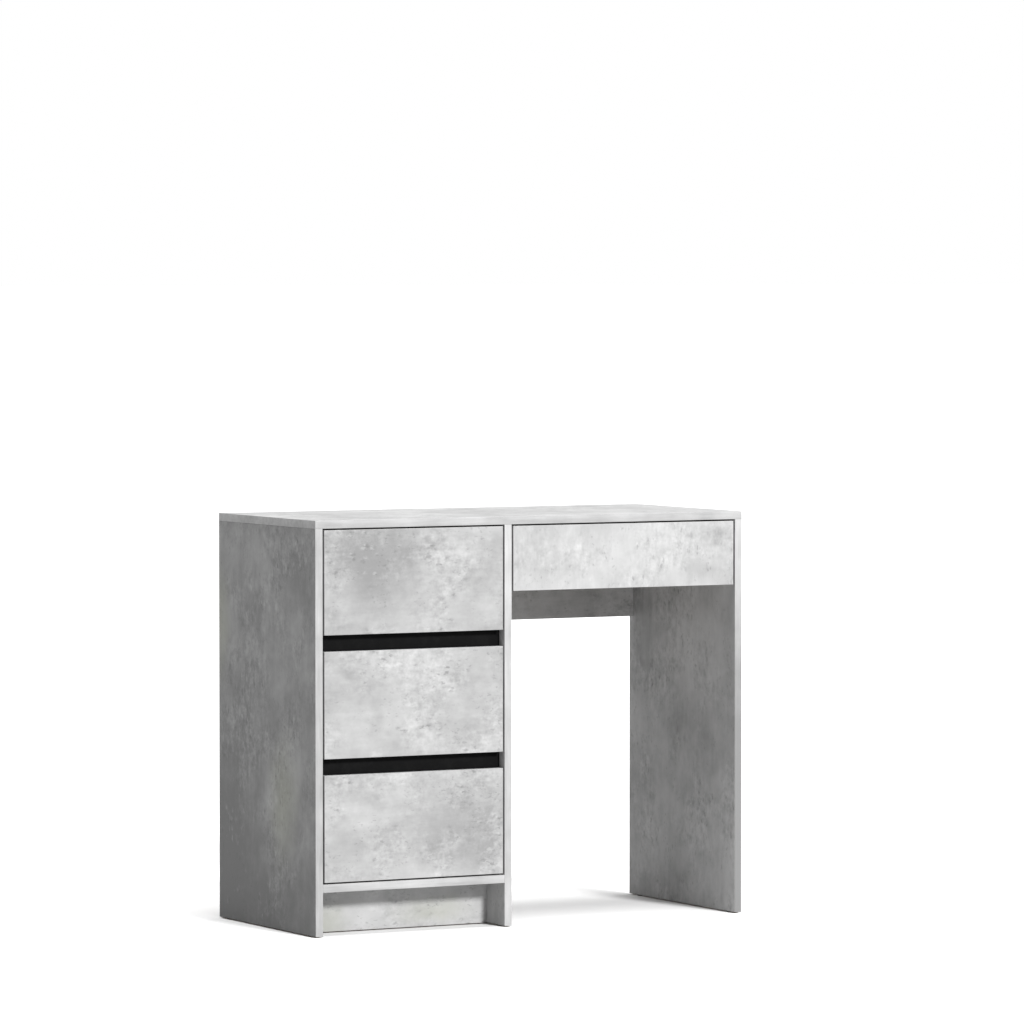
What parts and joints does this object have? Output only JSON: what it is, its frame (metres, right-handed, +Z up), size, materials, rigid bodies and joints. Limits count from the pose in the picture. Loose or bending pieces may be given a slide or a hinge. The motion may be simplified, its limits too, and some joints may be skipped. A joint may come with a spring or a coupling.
{
  "type": "writing desk",
  "caption": "Writing desk with a left pedestal of drawers, a wide drawer over an open knee space, a modesty panel and a panel leg.",
  "frame": {"origin": "on the floor, under the middle of the desktop", "axes": "+X to the right seen from the front, where the drawers open; +Y to the back; +Z up"},
  "size_m": [0.9, 0.4, 0.76],
  "materials": {
    "concrete_laminate": "grey concrete-look laminate on chipboard, satin",
    "black_laminate": "black laminate on chipboard, matt",
    "box_melamine": "light grey melamine on chipboard, satin",
    "hardboard": "light grey lacquered hardboard, matt",
    "runner_steel": "white powder-coated sheet steel, satin",
    "nylon": "white nylon",
    "beech": "fluted beech dowel",
    "glide_plastic": "black plastic",
    "zinc_alloy": "die-cast zinc",
    "zinc_steel": "bright zinc-plated steel"
  },
  "bodies": {
    "carcass": {"back_panel_nails": "zinc_steel", "bottom_drawer_cabinet_runners": "runner_steel", "cabinet_runner_screws": "zinc_steel", "carcass_cam_bolts": "zinc_steel", "carcass_cams": "zinc_alloy", "desktop": "concrete_laminate", "divider_panel": "concrete_laminate", "dowels": "beech", "floor_glides": "glide_plastic", "left_side_panel": "concrete_laminate", "lower_black_rail": "black_laminate", "middle_drawer_cabinet_runners": "runner_steel", "modesty_panel": "concrete_laminate", "pedestal_back": "hardboard", "pedestal_bottom_panel": "concrete_laminate", "plinth": "concrete_laminate", "right_side_panel": "concrete_laminate", "top_drawer_cabinet_runners": "runner_steel", "upper_black_rail": "black_laminate", "wide_drawer_cabinet_runners": "runner_steel"},
    "top_drawer": {"top_drawer_back": "box_melamine", "top_drawer_bottom": "hardboard", "top_drawer_cam_locks": "zinc_alloy", "top_drawer_front_panel": "concrete_laminate", "top_drawer_left_side": "box_melamine", "top_drawer_right_side": "box_melamine", "top_drawer_runners": "runner_steel", "top_drawer_screws": "zinc_steel"},
    "middle_drawer": {"middle_drawer_back": "box_melamine", "middle_drawer_bottom": "hardboard", "middle_drawer_cam_locks": "zinc_alloy", "middle_drawer_front_panel": "concrete_laminate", "middle_drawer_left_side": "box_melamine", "middle_drawer_right_side": "box_melamine", "middle_drawer_runners": "runner_steel", "middle_drawer_screws": "zinc_steel"},
    "bottom_drawer": {"bottom_drawer_back": "box_melamine", "bottom_drawer_bottom": "hardboard", "bottom_drawer_cam_locks": "zinc_alloy", "bottom_drawer_front_panel": "concrete_laminate", "bottom_drawer_left_side": "box_melamine", "bottom_drawer_right_side": "box_melamine", "bottom_drawer_runners": "runner_steel", "bottom_drawer_screws": "zinc_steel"},
    "wide_drawer": {"wide_drawer_back": "box_melamine", "wide_drawer_bottom": "hardboard", "wide_drawer_cam_locks": "zinc_alloy", "wide_drawer_front_panel": "concrete_laminate", "wide_drawer_left_side": "box_melamine", "wide_drawer_right_side": "box_melamine", "wide_drawer_runners": "runner_steel", "wide_drawer_screws": "zinc_steel"},
    "bottom_drawer_lead_rollers_body": {"bottom_drawer_lead_rollers": "nylon"},
    "bottom_drawer_tail_rollers_body": {"bottom_drawer_tail_rollers": "nylon"},
    "middle_drawer_lead_rollers_body": {"middle_drawer_lead_rollers": "nylon"},
    "middle_drawer_tail_rollers_body": {"middle_drawer_tail_rollers": "nylon"},
    "top_drawer_lead_rollers_body": {"top_drawer_lead_rollers": "nylon"},
    "top_drawer_tail_rollers_body": {"top_drawer_tail_rollers": "nylon"},
    "wide_drawer_lead_rollers_body": {"wide_drawer_lead_rollers": "nylon"},
    "wide_drawer_tail_rollers_body": {"wide_drawer_tail_rollers": "nylon"}
  },
  "joints": [
    {"name": "top_drawer_slide", "type": "slide", "parent": "carcass", "child": "top_drawer", "axis": [0, -1, 0], "range_m": [0, 0.255]},
    {"name": "middle_drawer_slide", "type": "slide", "parent": "carcass", "child": "middle_drawer", "axis": [0, -1, 0], "range_m": [0, 0.255]},
    {"name": "bottom_drawer_slide", "type": "slide", "parent": "carcass", "child": "bottom_drawer", "axis": [0, -1, 0], "range_m": [0, 0.255]},
    {"name": "wide_drawer_slide", "type": "slide", "parent": "carcass", "child": "wide_drawer", "axis": [0, -1, 0], "range_m": [0, 0.255]},
    {"name": "top_drawer_tail_rollers_spin", "type": "hinge", "parent": "top_drawer", "child": "top_drawer_tail_rollers_body", "pos_m": [-0.247, 0.154, 0.579], "axis": [1, 0, 0], "range_deg": [0, 1800]},
    {"name": "top_drawer_lead_rollers_spin", "type": "hinge", "parent": "carcass", "child": "top_drawer_lead_rollers_body", "pos_m": [-0.247, -0.174, 0.5821], "axis": [1, 0, 0], "range_deg": [0, 1800]},
    {"name": "middle_drawer_tail_rollers_spin", "type": "hinge", "parent": "middle_drawer", "child": "middle_drawer_tail_rollers_body", "pos_m": [-0.247, 0.154, 0.3535], "axis": [1, 0, 0], "range_deg": [0, 1800]},
    {"name": "middle_drawer_lead_rollers_spin", "type": "hinge", "parent": "carcass", "child": "middle_drawer_lead_rollers_body", "pos_m": [-0.247, -0.174, 0.3566], "axis": [1, 0, 0], "range_deg": [0, 1800]},
    {"name": "bottom_drawer_tail_rollers_spin", "type": "hinge", "parent": "bottom_drawer", "child": "bottom_drawer_tail_rollers_body", "pos_m": [-0.247, 0.154, 0.128], "axis": [1, 0, 0], "range_deg": [0, 1800]},
    {"name": "bottom_drawer_lead_rollers_spin", "type": "hinge", "parent": "carcass", "child": "bottom_drawer_lead_rollers_body", "pos_m": [-0.247, -0.174, 0.1311], "axis": [1, 0, 0], "range_deg": [0, 1800]},
    {"name": "wide_drawer_tail_rollers_spin", "type": "hinge", "parent": "wide_drawer", "child": "wide_drawer_tail_rollers_body", "pos_m": [0.1955, 0.154, 0.641], "axis": [1, 0, 0], "range_deg": [0, 1800]},
    {"name": "wide_drawer_lead_rollers_spin", "type": "hinge", "parent": "carcass", "child": "wide_drawer_lead_rollers_body", "pos_m": [0.1955, -0.174, 0.6441], "axis": [1, 0, 0], "range_deg": [0, 1800]}
  ],
  "couplings": [
    {"joint": "top_drawer_tail_rollers_spin", "follows": "top_drawer_slide", "rad_per_m": 117.65},
    {"joint": "top_drawer_lead_rollers_spin", "follows": "top_drawer_slide", "rad_per_m": 117.65},
    {"joint": "middle_drawer_tail_rollers_spin", "follows": "middle_drawer_slide", "rad_per_m": 117.65},
    {"joint": "middle_drawer_lead_rollers_spin", "follows": "middle_drawer_slide", "rad_per_m": 117.65},
    {"joint": "bottom_drawer_tail_rollers_spin", "follows": "bottom_drawer_slide", "rad_per_m": 117.65},
    {"joint": "bottom_drawer_lead_rollers_spin", "follows": "bottom_drawer_slide", "rad_per_m": 117.65},
    {"joint": "wide_drawer_tail_rollers_spin", "follows": "wide_drawer_slide", "rad_per_m": 117.65},
    {"joint": "wide_drawer_lead_rollers_spin", "follows": "wide_drawer_slide", "rad_per_m": 117.65}
  ]
}
